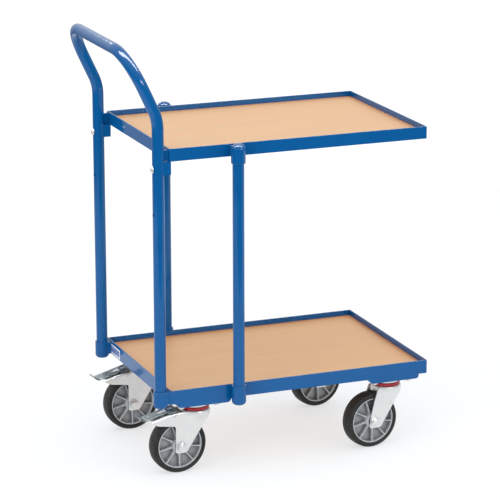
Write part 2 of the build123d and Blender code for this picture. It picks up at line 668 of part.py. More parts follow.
def caster_nodes():
    """Each kind of piece is made once, then copied to the four corners."""
    held = {"kingpins": [kingpin()], "swivel_seals": [swivel_seal()], "swivel_balls": swivel_balls(),
            "plate_bolts": at_bolt_places(plate_bolt()), "plate_nuts": at_bolt_places(plate_nut())}
    swung = {"tyre": tyre(), "rim": rim(), "bearing": bearing()}
    brake = {"brake_pedal": brake_pedal(), "brake_pin": brake_pin()}
    forks = {True: fork(True), False: fork(False)}
    axle = axle_set()
    plate = top_plate()
    nodes = {}
    for name, (side_x, side_y, swing, braked) in CASTERS.items():
        fixed = Pos(FRAME_CENTRE_X + side_x * SWIVEL_X, side_y * SWIVEL_Y, 0)
        turned = fixed * Rot(0, 0, swing)
        nodes[f"caster_pad_{name}"] = caster_pad(side_x, side_y)
        nodes[f"top_plate_{name}"] = fixed * plate
        nodes[f"fork_{name}"] = turned * forks[braked]
        nodes[f"axle_bolt_{name}"] = Compound(children=[turned * piece for piece in axle])
        for kind, piece in {**swung, **(brake if braked else {})}.items():
            nodes[f"{kind}_{name}"] = turned * piece
    places = [Pos(FRAME_CENTRE_X + x * SWIVEL_X, y * SWIVEL_Y, 0) for x, y, *_ in CASTERS.values()]
    for name, pieces in held.items():
        nodes[name] = Compound(children=[place * piece for place in places for piece in pieces])
    return nodes


os.makedirs("parts", exist_ok=True)
for node, shape in {**frame_nodes(), **column_nodes(), **caster_nodes()}.items():
    export_step(shape, f"parts/{node}.step")
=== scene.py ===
"""Looks for the platform trolley: pressed forks, ribbed wheels, stamped pedals, welds and finishes.

Shapes are drawn in millimetres and become metres when a piece is made. A caster's own frame has its
origin on the floor below the kingpin, +X ahead of the wheel, +Y along the axle and +Z up.
"""
import json
import math
import random

import bmesh
import bpy
from mathutils import Matrix, Vector
from mathutils.geometry import delaunay_2d_cdt


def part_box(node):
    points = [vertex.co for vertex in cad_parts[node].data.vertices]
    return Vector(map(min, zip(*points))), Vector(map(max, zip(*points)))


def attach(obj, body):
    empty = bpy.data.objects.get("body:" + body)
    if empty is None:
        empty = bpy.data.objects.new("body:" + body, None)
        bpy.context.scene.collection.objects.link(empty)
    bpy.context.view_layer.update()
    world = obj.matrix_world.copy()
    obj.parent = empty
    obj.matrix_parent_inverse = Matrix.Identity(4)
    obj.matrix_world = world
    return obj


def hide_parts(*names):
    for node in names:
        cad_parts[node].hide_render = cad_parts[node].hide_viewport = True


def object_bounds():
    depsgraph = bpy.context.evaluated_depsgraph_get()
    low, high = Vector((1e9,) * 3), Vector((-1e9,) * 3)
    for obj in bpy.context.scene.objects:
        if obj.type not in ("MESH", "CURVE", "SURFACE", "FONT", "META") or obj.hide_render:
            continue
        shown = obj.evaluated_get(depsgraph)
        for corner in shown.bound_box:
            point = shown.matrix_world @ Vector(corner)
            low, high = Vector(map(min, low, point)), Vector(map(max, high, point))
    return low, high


MM = 0.001
SEED = 11

# ---- Casters ----
FORK_INNER = 19.0
FORK_SHEET = 3.0
FORK_EDGE = 0.9
CROWN_RADIUS = 34.0
CROWN_TOP = 139.5
CROWN_SHEET = 3.5
CROWN_ROUNDING = 3.0
CROWN_SKIRT = 6.0
CROWN_FILLET = 1.5
SKIRT_CHAMFER = 0.8
FLARE_FROM = 110.0
FLARE_INSET = 0.3
LEG_TOP = 136.4
LIP_TURN_IN = 2.6
LIP_SHEET = 3.8
LIP_ROLL = 3.0
LIP_PROUD = 0.7
LIP_RISE = 0.6
KINGPIN_HOLE = 6.1
AXLE_RADIUS = 6.0
AXLE_FLATS = 17.0
NUT_HEIGHT = 5.6
WASHER_RADIUS = 11.5
WASHER_HEIGHT = 1.3
WASHER_CHAMFER = 0.4
WASHER_SINK = 0.05
AXLE_TIP = 1.9

# ---- Nuts and the ends of their bolts ----
NUT_TURNED_SHARE = 0.97
NUT_CHAMFER = math.radians(30)
THREAD_DEPTH = 0.5
TIP_SINK = 1.0
TIP_CHAMFER = 1.0
TIP_TAPER = 1.2
PLATE_BOLT_SPACING = (80.0, 60.0)
PLATE_NUT_FLATS = 13.0
PLATE_NUT_GAP = 0.4
PLATE_BOLT_RADIUS = 4.0
PLATE_BOLT_TIP = 2.0

# ---- Wheels ----
TYRE_HALF_WIDTH = 16.0
TYRE_SHOULDER = 6.0
TYRE_CROWN = 0.5
MOULD_LINE = 0.35
MOULD_LINE_AT = 7.8
RIM_RADIUS = 51.0
RIM_HALF_WIDTH = 15.2
RIM_LIP = 2.6
WEB_HALF = 3.0
HUB_RADIUS = 17.0
HUB_HALF_WIDTH = 18.3
BEARING_RADIUS = 12.0
RIB_COUNT = 9
RIB_THIN = 1.5
RIB_THICK = 2.3
RIB_CREST_HUB = 13.2
RIB_CREST_RIM = 14.3
WHEEL_STEPS = 120

# ---- Pedals ----
PEDAL_SHEET = 2.5
PEDAL_HALF_WIDTH = 15.5
PEDAL_SLOPE = math.radians(14.3)
PEDAL_FRONT = -5.0
PEDAL_KNEE = 69.0
PEDAL_KNEE_RADIUS = 8.0
PEDAL_LIP = 10.0
PEDAL_LIP_TURN = math.radians(52)
PEDAL_RISE = 15.2
# Corners are (along, across, radius), and the oblong slot is what rectangle() takes
POINTED_SLOT = [(17, -8.5, 1.5), (36.5, -0.9, 0.8), (36.5, 0.9, 0.8), (17, 8.5, 1.5)]
OBLONG_SLOT = (1.5, 11, 5.5, 2, 2)
SPRING_FROM = -2.5
SPRING_TO = 39.0
SPRING_HALF_WIDTH = 11.0
SPRING_SHEET = 1.0
SPRING_LIFT = 0.3
EMBOSS_HEIGHT = 0.9
EMBOSS_HALF_WIDTH = 1.5
# Each path is a chain of (along, across) points
EMBOSS_PATHS = [[(43, -9.5), (64, -9.5), (64, 9.5), (43, 9.5)], [(48, 0), (56, 0)]]
EAR_REACH = 5.0
EAR_HOLE = 3.0
EAR_LENGTH = 24.0
EAR_DROP = 7.5
SHOE_WIDTH = 22.0
# Corners are (along, up, radius)
SHOE_CORNERS = [(-23, -6.9, 1.6), (-17, -6.9, 1.6), (-17, 9.8, 1), (-23, 8.2, 1)]

# ---- Welds ----
WELD_RADIUS = 2.2
WELD_PITCH = 2.2
WELD_ROWS_PER_PITCH = 5
WELD_STEPS = 14
WELD_RIPPLE = 0.10
WELD_WAVER = 0.03
WELD_WANDER = 0.12
WELD_SINK = 0.8
LEG_WEB_HALF = 13.4
POST_WEB_HALF = 7.4

# Where the beads end: down from the top of the socket or rail, or above its bottom where so named
LEG_WELD_LOW_END = 26.0
LEG_WELD_HIGH_END = 2.0
POST_WELD_HIGH_END = 2.5
POST_WELD_ABOVE_SOCKET = 9.0
POST_WELD_ABOVE_RAIL = 1.5

# ---- Label: its middle is measured from the rail's left end and from the rail's own middle ----
LABEL_LENGTH = 62.0
LABEL_HEIGHT = 21.0
LABEL_FROM_END = 57.5
LABEL_DROP = 2.0
LABEL_FILM = 0.3
LABEL_INK = 0.12
LABEL_RAISE = 0.16
LABEL_EDGE = 0.05
BORDER_MARGIN = 3.2
WINDOW_MARGIN = 4.2
PANEL_MARGIN = 4.6

# ---- Studio, in metres: each sky is a tilt, an offset and the darkest and brightest it gets ----
FLOOR_EDGES = (-2.5, 3.2, -1.6, 1.9)
FLOOR_GLOW = 0.60
BACKDROP = 1.1
ROOM_LIGHT = ((0.20, -0.20, 0.10), 0.97, 0.3, 1.6)
ROOM_REFLECTION = ((0.0, 0.6, 1.8), 0.29, 0.05, 1.5)

# Each light: where it stands, what it faces, its size and its power
SOFTBOXES = {
    "overhead_softbox": ((-0.6, -0.5, 3.2), (0, 0, 0.3), (2.0, 2.0), 6),
    "left_softbox": ((-2.6, -1.9, 1.5), (0, 0, 0.5), (1.2, 1.6), 22),
}
GLINTS = {
    "overhead_glint": ((-0.2, -0.3, 2.9), (-0.1, 0, 0.7), (4.5, 0.9), 330),
    "front_glint": ((0.85, -2.60, 1.45), (-0.1, 0, 0.3), (1.4, 0.5), 32),
    "back_glint": ((-0.42, 1.80, 1.80), (-0.33, 0, 0.93), (0.50, 0.10), 4),
}

# ---- Camera, in metres: it aims at a point measured from the object's middle ----
CAMERA_AZIMUTH = math.radians(-21.51)
CAMERA_ELEVATION = math.radians(15.13)
CAMERA_ROLL = math.radians(-0.10)
CAMERA_DISTANCE = 5.813
CAMERA_AIM = (0.0169, 0.012, -0.0423)
CAMERA_LENS = 189.38
CAMERA_SENSOR = 36.0

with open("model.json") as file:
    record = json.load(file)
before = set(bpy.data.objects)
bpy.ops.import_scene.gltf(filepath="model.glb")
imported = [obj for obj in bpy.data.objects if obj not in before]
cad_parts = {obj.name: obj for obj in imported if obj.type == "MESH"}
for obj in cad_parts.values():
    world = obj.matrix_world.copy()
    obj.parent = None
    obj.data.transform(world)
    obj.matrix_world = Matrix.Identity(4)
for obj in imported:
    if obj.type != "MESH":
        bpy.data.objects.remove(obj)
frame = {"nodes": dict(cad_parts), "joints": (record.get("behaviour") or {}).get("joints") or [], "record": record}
cad_low, cad_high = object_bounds()
JOINTS = {joint["name"]: joint for joint in frame["joints"]}
CASTER_NAMES = [name[len("swivel_"):] for name in JOINTS if name.startswith("swivel_")]


# ---- Finishes: node trees ----

def plug(tree, socket, value):
    """Feeds a socket from another node's socket, or gives it a plain value."""
    if isinstance(value, bpy.types.NodeSocket):
        tree.links.new(value, socket)
    elif socket.type == "RGBA":
        socket.default_value = (*value, 1)
    else:
        socket.default_value = value


def add_node(tree, kind, inputs=(), **settings):
    """Adds a node, sets its properties and feeds its inputs, which go by name or number."""
    made = tree.nodes.new(kind)
    for key, value in settings.items():
        setattr(made, key, value)
    for key, value in dict(inputs).items():
        plug(tree, made.inputs[key], value)
    return made


class Finish:
    """A material with a Principled shader and short calls for the nodes that feed it."""

    def __init__(self, name, **inputs):
        self.material = bpy.data.materials.new(name)
        self.material.use_nodes = True
        self.tree = self.material.node_tree
        self.place = self.node("ShaderNodeTexCoord").outputs["Object"]
        self.set(**inputs)

    def node(self, kind, inputs=(), **settings):
        return add_node(self.tree, kind, inputs, **settings)

    def set(self, **inputs):
        """Feeds the shader's inputs, each named with _ for a space."""
        shader = self.tree.nodes["Principled BSDF"]
        for key, value in inputs.items():
            plug(self.tree, shader.inputs[key.replace("_", " ")], value)

    def noise(self, scale, detail=3.0, roughness=0.55, stretch=(1, 1, 1)):
        place = self.node("ShaderNodeVectorMath", {0: self.place, 1: stretch}, operation="MULTIPLY")
        inputs = {"Vector": place.outputs[0], "Scale": scale, "Detail": detail, "Roughness": roughness}
        return self.node("ShaderNodeTexNoise", inputs).outputs["Fac"]

    def ramp(self, value, *stops):
        made = self.node("ShaderNodeValToRGB", {"Fac": value})
        elements = made.color_ramp.elements
        while len(elements) < len(stops):
            elements.new(0.5)
        for element, (position, colour) in zip(elements, stops):
            element.position = position
            element.color = (*colour, 1)
        return made.outputs["Color"]

    def drift(self, cloud, first, second):
        """A colour that drifts between two with the cloud."""
        return self.ramp(cloud, (0.3, first), (0.7, second))

    def scaled(self, cloud, low, high):
        """A number that drifts between two with the cloud."""
        inputs = {"Value": cloud, "From Min": 0.3, "From Max": 0.7, "To Min": low, "To Max": high}
        return self.node("ShaderNodeMapRange", inputs).outputs["Result"]

    def mix(self, amount, first, second, blend="MIX"):
        inputs = {0: amount, 6: first, 7: second}
        return self.node("ShaderNodeMix", inputs, data_type="RGBA", blend_type=blend).outputs[2]

    def openness(self, distance):
        """1 on an open surface, falling to 0 deep in a corner."""
        inputs = {"Distance": distance}
        return self.node("ShaderNodeAmbientOcclusion", inputs, samples=8).outputs["AO"]

    def bump(self, height, strength, distance):
        inputs = {"Height": height, "Strength": strength, "Distance": distance}
        return self.node("ShaderNodeBump", inputs).outputs["Normal"]


def blue_powder_coat():
    """Glossy blue powder coat with a faint orange peel."""
    finish = Finish("blue_powder_coat", IOR=1.5, Specular_IOR_Level=0.30)
    cloud = finish.noise(9, detail=2)
    finish.set(Base_Color=finish.drift(cloud, (0.0012, 0.083, 0.265), (0.0020, 0.094, 0.292)))
    finish.set(Roughness=finish.scaled(finish.noise(260), 0.08, 0.13))
    finish.set(Normal=finish.bump(finish.noise(420, detail=1), 0.03, 0.0003))
    return finish.material


def beech_board():
    """Satin beech: long soft streaks, short dark flecks and a fine open grain, with a warmer, darker shade painted
    into its corners.
    """
    finish = Finish("beech_board", Specular_IOR_Level=0.3)
    streaks = finish.noise(34, detail=5, roughness=0.62, stretch=(0.045, 1, 1))
    wood = finish.ramp(streaks, (0.32, (0.625, 0.361, 0.167)), (0.5, (0.66, 0.387, 0.184)),
                       (0.68, (0.69, 0.412, 0.201)))
    flecks = finish.noise(900, detail=1, stretch=(0.16, 1, 1))
    fleck_mask = finish.ramp(flecks, (0.68, (0, 0, 0)), (0.74, (0.55, 0.55, 0.55)))
    wood = finish.mix(fleck_mask, wood, (0.42, 0.22, 0.10))
    # Painted shade: corners are tinted darker and more orange, as light bounced off the beech would make them
    # look.
    painted_warm_shade = finish.ramp(finish.openness(0.06), (0.45, (0.92, 0.54, 0.30)), (1.0, (1, 1, 1)))
    finish.set(Base_Color=finish.mix(1.0, wood, painted_warm_shade, "MULTIPLY"))
    finish.set(Roughness=finish.scaled(streaks, 0.38, 0.52))
    grain = finish.noise(1300, detail=2, stretch=(0.06, 1, 1))
    finish.set(Normal=finish.bump(grain, 0.18, 0.0003))
    return finish.material


def zinc_steel():
    """Bright zinc plating: soft, faintly clouded, with a bluish and a yellowish cast in patches, and painted shade
    darkening its crevices.
    """
    finish = Finish("zinc_steel", Metallic=0.9)
    cloud = finish.noise(38, detail=4)
    tint = finish.ramp(cloud, (0.3, (0.72, 0.73, 0.75)), (0.55, (0.77, 0.77, 0.76)),
                       (0.75, (0.77, 0.76, 0.72)))
    # Painted shade: the colour darkens in narrow crevices and seams, where shade falls.
    corner = finish.ramp(finish.openness(0.006), (0.25, (0.22, 0.22, 0.23)), (0.75, (1, 1, 1)))
    finish.set(Base_Color=finish.mix(1.0, tint, corner, "MULTIPLY"))
    finish.set(Roughness=finish.scaled(finish.noise(120, detail=4), 0.30, 0.46))
    finish.set(Normal=finish.bump(finish.noise(900, detail=2), 0.12, 0.0002))
    return finish.material


def pedal_steel():
    """Dark polished plating on the pedals, faintly clouded."""
    finish = Finish("pedal_steel", Metallic=1.0)
    cloud = finish.noise(60, detail=3)
    finish.set(Base_Color=finish.drift(cloud, (0.145, 0.168, 0.170), (0.190, 0.213, 0.215)))
    finish.set(Roughness=finish.scaled(finish.noise(200, detail=2), 0.26, 0.36))
    return finish.material


def bearing_steel():
    """Smooth bright steel with a faint mottle."""
    finish = Finish("bearing_steel", Metallic=1.0)
    finish.set(Base_Color=finish.drift(finish.noise(300), (0.52, 0.53, 0.55), (0.66, 0.67, 0.68)))
    finish.set(Roughness=finish.scaled(finish.noise(500), 0.12, 0.24))
    return finish.material


def grey_rubber():
    """Dark grey tyre rubber: dull, dusty in places, with a fine moulded surface."""
    finish = Finish("grey_rubber", Specular_IOR_Level=0.25)
    dust = finish.noise(45, detail=5)
    finish.set(Base_Color=finish.ramp(dust, (0.3, (0.014, 0.014, 0.013)), (0.75, (0.030, 0.029, 0.028))))
    finish.set(Roughness=finish.scaled(finish.noise(150), 0.48, 0.66))
    finish.set(Normal=finish.bump(finish.noise(1500, detail=3), 0.25, 0.0003))
    return finish.material


def grey_plastic():
    """Moulded grey polypropylene, with shade painted in: darker down between the ribs and a little lighter on open
    faces.
    """
    finish = Finish("grey_plastic")
    cloud = finish.drift(finish.noise(60, detail=3), (0.36, 0.38, 0.395), (0.42, 0.44, 0.455))
    # Painted shade: the recesses between the ribs are darkened and the open faces are slightly lightened.
    painted_rib_shade = finish.ramp(finish.openness(0.022), (0.30, (0.32, 0.32, 0.33)), (0.80, (1.10, 1.10, 1.10)))
    finish.set(Base_Color=finish.mix(1.0, cloud, painted_rib_shade, "MULTIPLY"))
    finish.set(Roughness=finish.scaled(finish.noise(400), 0.36, 0.50))
    finish.set(Normal=finish.bump(finish.noise(1100, detail=2), 0.15, 0.0002))
    return finish.material


def red_seal():
    """Glossy red plastic of the swivel rings."""
    finish = Finish("red_seal", IOR=1.5)
    finish.set(Base_Color=finish.drift(finish.noise(80), (0.30, 0.004, 0.012), (0.38, 0.006, 0.018)))
    finish.set(Roughness=finish.scaled(finish.noise(300), 0.22, 0.34))
    return finish.material


def label_film():
    """White printed film with a soft sheen."""
    finish = Finish("label_film")
    finish.set(Base_Color=finish.drift(finish.noise(200), (0.86, 0.88, 0.90), (0.90, 0.92, 0.94)))
    finish.set(Roughness=finish.scaled(finish.noise(500), 0.30, 0.42))
    return finish.material


def label_panel():
    """Matt blue print in the middle of the label."""
    finish = Finish("label_panel", Specular_IOR_Level=0.15)
    finish.set(Base_Color=finish.drift(finish.noise(200), (0.12, 0.18, 0.42), (0.16, 0.23, 0.48)))
    finish.set(Roughness=finish.scaled(finish.noise(500), 0.55, 0.65))
    return finish.material


def label_ink():
    """Dark blue print of the label's border."""
    finish = Finish("label_ink", Specular_IOR_Level=0.15)
    finish.set(Base_Color=finish.drift(finish.noise(200), (0.03, 0.06, 0.24), (0.04, 0.08, 0.28)))
    finish.set(Roughness=finish.scaled(finish.noise(500), 0.34, 0.46))
    return finish.material


FINISHES = {make.__name__: make() for make in (
    blue_powder_coat, beech_board, zinc_steel, pedal_steel, bearing_steel,
    grey_rubber, grey_plastic, red_seal, label_film, label_panel, label_ink)}


# ---- Shapes: each is a pair of lists, its points and its faces ----

def joined(*shapes):
    points, faces = [], []
    for shape_points, shape_faces in shapes:
        start = len(points)
        points += shape_points
        faces += [tuple(start + index for index in face) for face in shape_faces]
    return points, faces


def moved(shape, matrix):
    points, faces = shape
    return [tuple(matrix @ Vector(point)) for point in points], faces


def turned(axis, degrees):
    return Matrix.Rotation(math.radians(degrees), 4, axis)


def shifted(x, y, z):
    return Matrix.Translation((x, y, z))


def strip_faces(first, second, count):
    """Quads between two closed rows of points that start at these indices."""
    return [(first + i, first + (i + 1) % count, second + (i + 1) % count, second + i) for i in range(count)]


def rows_solid(rows):
    """A solid through closed rows of as many points each, with a flat cap at each end."""
    count = len(rows[0])
    points = [point for row in rows for point in row]
    faces = []
    for start in range(0, len(points) - count, count):
        faces += strip_faces(start, start + count, count)
    faces.append(tuple(reversed(range(count))))
    faces.append(tuple(range(len(points) - count, len(points))))
    return points, faces


def lathe_rows(profile, steps):
    """A row of points about the Z axis for each (radius, height) of the profile."""
    angles = [2 * math.pi * step / steps for step in range(steps)]
    return [[(radius * math.cos(angle), radius * math.sin(angle), height) for angle in angles]
            for radius, height in profile]


def lathe(profile, steps):
    """A closed section of (radius, height) points, turned about the Z axis."""
    points = [point for row in lathe_rows(profile, steps) for point in row]
    faces = []
    for row in range(len(profile)):
        faces += strip_faces(row * steps, (row + 1) % len(profile) * steps, steps)
    return points, faces


def capped_lathe(profile, steps):
    """A solid from an open section, bottom to top, closed by a flat cap at each end."""
    return rows_solid(lathe_rows(profile, steps))


def arc(centre, radius, start, end, steps):
    """Points on an arc between two angles in degrees, both ends included."""
    angles = [math.radians(start + (end - start) * step / steps) for step in range(steps + 1)]
    return [(centre[0] + radius * math.cos(angle), centre[1] + radius * math.sin(angle)) for angle in angles]


def rounded(corners, steps=6):
    """A closed outline from (x, y, radius) corners, each rounded with an arc."""
    outline = []
    for index, (x, y, radius) in enumerate(corners):
        corner = Vector((x, y))
        back = (Vector(corners[index - 1][:2]) - corner).normalized()
        ahead = (Vector(corners[(index + 1) % len(corners)][:2]) - corner).normalized()
        half = back.angle(ahead) / 2
        if radius < 0.01 or abs(half - math.pi / 2) < 0.01:
            outline.append((x, y))
            continue
        start = corner + back * (radius / math.tan(half))
        end = corner + ahead * (radius / math.tan(half))
        centre = corner + (back + ahead).normalized() * (radius / math.sin(half))
        sweep = (start - centre).angle_signed(end - centre)
        for step in range(steps + 1):
            spoke = (start - centre).copy()
            spoke.rotate(Matrix.Rotation(-sweep * step / steps, 2))
            outline.append(tuple(centre + spoke))
    return outline


def rectangle(left, right, half_width, left_radius, right_radius):
    """The (x, y, radius) corners of a rectangle centred on the X axis."""
    return [(left, -half_width, left_radius), (right, -half_width, right_radius),
            (right, half_width, right_radius), (left, half_width, left_radius)]


def around(loop):
    """Each item of a closed loop with the one after it."""
    return zip(loop, loop[1:] + loop[:1])


def spaced(outline, gap):
    """The same closed outline with extra points, so that no two are further apart than the gap."""
    result = []
    for a, b in around([Vector(point) for point in outline]):
        pieces = max(1, math.ceil((b - a).length / gap))
        result += [tuple(a.lerp(b, piece / pieces)) for piece in range(pieces)]
    return result


def area(outline):
    return sum(a[0] * b[1] - b[0] * a[1] for a, b in around(outline)) / 2


def inset(outline, distance):
    """A closed outline moved sideways, towards its left."""
    result = []
    for index, point in enumerate(outline):
        before = Vector(outline[index - 1])
        here = Vector(point)
        after = Vector(outline[(index + 1) % len(outline)])
        along = ((here - before).normalized() + (after - here).normalized()).normalized()
        result.append((here.x - along.y * distance, here.y + along.x * distance))
    return result


def inside(point, outline):
    x, y = point
    result = False
    for (ax, ay), (bx, by) in around(outline):
        if (ay > y) != (by > y) and x < (bx - ax) * (y - ay) / (by - ay) + ax:
            result = not result
    return result


def on_sheet(point, loops):
    """Whether a point lies inside the first loop and outside all the others."""
    return inside(point, loops[0]) and not any(inside(point, hole) for hole in loops[1:])


def clear_of(point, outline, distance):
    return all((point[0] - x) ** 2 + (point[1] - y) ** 2 > distance ** 2 for x, y in outline)


def grid_within(loops, gap):
    """A staggered grid of points on a sheet, none of them close to its edges."""
    us, vs = zip(*loops[0])
    columns = int((max(us) - min(us)) / gap)
    rows = int((max(vs) - min(vs)) / gap)
    points = []
    for row in range(1, rows + 1):
        for column in range(1, columns + 1):
            point = (min(us) + (column - 0.5 * (row % 2)) * gap, min(vs) + row * gap)
            if on_sheet(point, loops) and all(clear_of(point, loop, 0.55 * gap) for loop in loops):
                points.append(point)
    return points


def triangulated(loops, gap):
    """Even triangles on a sheet: its points, the triangles, and the indices of each loop's points."""
    flat = [point for loop in loops for point in loop] + grid_within(loops, gap)
    rims, edges = [], []
    for loop in loops:
        start = sum(len(rim) for rim in rims)
        rims.append(list(range(start, start + len(loop))))
        edges += around(rims[-1])
    made = delaunay_2d_cdt([Vector(point) for point in flat], edges, [], 4, 1e-5)
    points = [tuple(point) for point in made[0]]
    triangles = []
    for face in made[2]:
        middle = sum((Vector(points[index]) for index in face), Vector((0, 0))) / len(face)
        if on_sheet(middle, loops):
            triangles.append(tuple(face))
    index_of = {original: new for new, originals in enumerate(made[3]) for original in originals}
    return points, triangles, [[index_of[index] for index in rim] for rim in rims]


def pressed_sheet(outline, surface, edge, thickness, gap, holes=()):
    """A sheet with rounded edges. surface(u, v, side) places a point; side runs from -1 to 1 through it."""
    loops = [spaced(outline if area(outline) > 0 else outline[::-1], gap)]
    loops += [spaced(hole if area(hole) < 0 else hole[::-1], gap) for hole in holes]
    flat, triangles, rims = triangulated([inset(loop, edge) for loop in loops], gap)
    count = len(flat)
    points = [surface(u, v, side) for side in (1, -1) for u, v in flat]
    faces = triangles + [tuple(count + index for index in reversed(face)) for face in triangles]
    curve = 2 * edge / thickness
    for loop, rim in zip(loops, rims):
        rows = [rim]
        for half, angle in ((1, 60), (1, 30), (1, 0), (-1, 0), (-1, 30), (-1, 60)):
            shift = edge * (1 - math.cos(math.radians(angle)))
            side = half * (1 - curve * (1 - math.sin(math.radians(angle))))
            rows.append(range(len(points), len(points) + len(loop)))
            points += [surface(u, v, side) for u, v in inset(loop, shift)]
        rows.append([count + index for index in rim])
        for upper, lower in zip(rows, rows[1:]):
            faces += [(a, b, d, c) for (a, b), (c, d) in around(list(zip(upper, lower)))]
    return points, faces


def flat_plate(outline, thickness, edge, gap, holes=()):
    """A flat sheet in the XZ plane, centred on Y."""
    half = thickness / 2
    return pressed_sheet(outline, lambda u, v, side: (u, side * half, v), edge, thickness, gap, holes)


def chamfered_hexagon(flats, height, steps=72):
    """A hexagon on the Z axis with both ends turned to a cone, as nuts and bolt heads are."""
    inner = flats / 2
    turned_radius = inner * NUT_TURNED_SHARE
    rows = [[], [], [], []]
    for step in range(steps):
        angle = 2 * math.pi * step / steps
        reach = inner / math.cos((angle + math.pi / 6) % (math.pi / 3) - math.pi / 6)
        drop = (reach - turned_radius) * math.tan(NUT_CHAMFER)
        levels = ((turned_radius, 0), (reach, drop * 0.5), (reach, height - drop), (turned_radius, height))
        for row, (radius, z) in zip(rows, levels):
            row.append((math.cos(angle) * radius, math.sin(angle) * radius, z))
    return rows_solid(rows)


def bolt_tip(radius, height, ridges=2):
    """A bolt's threaded end, from just inside its nut: ridges and grooves, then a chamfer."""
    root, end = radius - THREAD_DEPTH, height - TIP_CHAMFER
    pitch = end / ridges
    profile = [(root, -TIP_SINK)]
    for ridge in range(ridges):
        profile += [(root, ridge * pitch), (radius, (ridge + 0.5) * pitch)]
    profile += [(root, end), (radius - TIP_TAPER, height)]
    return capped_lathe(profile, steps=40)


def washer(radius):
    """A flat disc on z = 0 with bevelled rims. Its bolt fills the hole, so none is drawn."""
    inner, top = radius - WASHER_CHAMFER, WASHER_HEIGHT
    profile = [(inner, 0), (radius, WASHER_CHAMFER), (radius, top - WASHER_CHAMFER), (inner, top)]
    return capped_lathe(profile, steps=60)


def nut_on_bolt(flats, height, bolt_radius, tip_height, washer_radius=0.0):
    """A nut that stands on z = 0, or on a washer there, with its bolt's end standing out."""
    shapes = []
    base = 0.0
    if washer_radius:
        shapes.append(washer(washer_radius))
        base = WASHER_HEIGHT - WASHER_SINK
    shapes.append(moved(chamfered_hexagon(flats, height), shifted(0, 0, base)))
    if tip_height:
        tip = bolt_tip(bolt_radius, tip_height)
        shapes.append(moved(tip, shifted(0, 0, base + height)))
    return joined(*shapes)


def weld_bead(start, end):
    """A rippled bead along a straight line, closed at both ends."""
    start, end = Vector(start), Vector(end)
    along = (end - start).normalized()
    side = along.orthogonal().normalized()
    other = along.cross(side)
    length = (end - start).length
    angles = [2 * math.pi * step / WELD_STEPS for step in range(WELD_STEPS)]
    spokes = [side * math.cos(angle) + other * math.sin(angle) for angle in angles]
    count = max(6, int(length / WELD_PITCH * WELD_ROWS_PER_PITCH))
    rows = []
    for row in range(count + 1):
        share = row / count
        taper = math.sqrt(max(0.02, 1 - abs(2 * share - 1) ** 8))
        wave = abs(math.sin(math.pi * share * length / WELD_PITCH))
        ripple = 1 + WELD_RIPPLE * wave + random.uniform(-WELD_WAVER, WELD_WAVER)
        middle = start + along * (share * length) + side * random.uniform(-WELD_WANDER, WELD_WANDER)
        rows.append([tuple(middle + spoke * (WELD_RADIUS * taper * ripple)) for spoke in spokes])
    return rows_solid(rows)


# ---- Pieces ----

def add_piece(name, body, finish, shape, place=None, replaces=(), sharp=32):
    """Makes a mesh object from a shape in millimetres and lets it ride on a body."""
    matrix = Matrix.Scale(MM, 4) @ (place or Matrix())
    points, faces = moved(shape, matrix)
    mesh = bpy.data.meshes.new(name)
    mesh.from_pydata(points, [], faces)
    edit = bmesh.new()
    edit.from_mesh(mesh)
    bmesh.ops.recalc_face_normals(edit, faces=edit.faces)
    edit.to_mesh(mesh)
    edit.free()
    mesh.polygons.foreach_set("use_smooth", [True] * len(mesh.polygons))
    mesh.set_sharp_from_angle(angle=math.radians(sharp))
    mesh.materials.append(FINISHES[finish])
    piece = bpy.data.objects.new(name, mesh)
    bpy.context.scene.collection.objects.link(piece)
    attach(piece, body)
    if replaces:
        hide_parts(*replaces)
    return piece


def caster_place(name):
    """The caster's own frame at rest, in millimetres, from its two joints."""
    kingpin = Vector(JOINTS["swivel_" + name]["pos_m"]) / MM
    across = Vector(JOINTS["wheel_spin_" + name]["axis"]).normalized()
    ahead = across.cross(Vector((0, 0, 1)))
    place = Matrix((ahead, across, Vector((0, 0, 1)))).transposed().to_4x4()
    place.translation = (kingpin.x, kingpin.y, 0)
    return place


def axle_of(name):
    """How far the axle trails behind the kingpin, and its height."""
    kingpin = Vector(JOINTS["swivel_" + name]["pos_m"]) / MM
    axle = Vector(JOINTS["wheel_spin_" + name]["pos_m"]) / MM
    return (axle - kingpin).xy.length, axle.z


# ---- Forks ----

def plain_leg(trail):
    """One side of a plain fork: a slanting leg that narrows towards the axle."""
    return rounded([
        (-trail - 12.5, 46.8, 6), (-trail + 16.5, 46.8, 7), (26, 126, 5), (26, LEG_TOP, 0.5),
        (-31.5, LEG_TOP, 0.5), (-trail + 1, 113, 30), (-trail - 9, 74, 30)])


def braked_leg(trail):
    """One side of a braked fork: an upright leg, and an arm that reaches back below the pedal."""
    return rounded([
        (-trail - 12.5, 46.8, 5), (-trail + 13, 46.8, 6), (26.5, 128, 6), (26.5, LEG_TOP, 0.5),
        (-25, LEG_TOP, 3), (-30, 138.6, 4), (-trail - 1, 138.4, 30), (-trail - 26, 136.2, 40),
        (-trail - 47, 131.6, 40), (-trail - 70.5, 125.6, 1.5), (-trail - 67, 120.8, 4),
        (-trail - 52, 114.5, 20), (-trail - 12.5, 108.6, 5.5)])


def fork_leg(outline, side):
    """A leg pressed from sheet, flaring at its top to follow the round crown."""
    straight = FORK_INNER + FORK_SHEET / 2

    def surface(x, z, through):
        rim = math.sqrt(max(CROWN_RADIUS ** 2 - x ** 2, 0)) - FLARE_INSET - FORK_SHEET / 2
        rise = min(1, max(0, (z - FLARE_FROM) / (LEG_TOP - FLARE_FROM)))
        flare = max(0, rim - straight) * rise ** 2 * (3 - 2 * rise)
        return x, side * (straight + flare + through * FORK_SHEET / 2), z

    return pressed_sheet(outline, surface, FORK_EDGE, FORK_SHEET, gap=3.0)


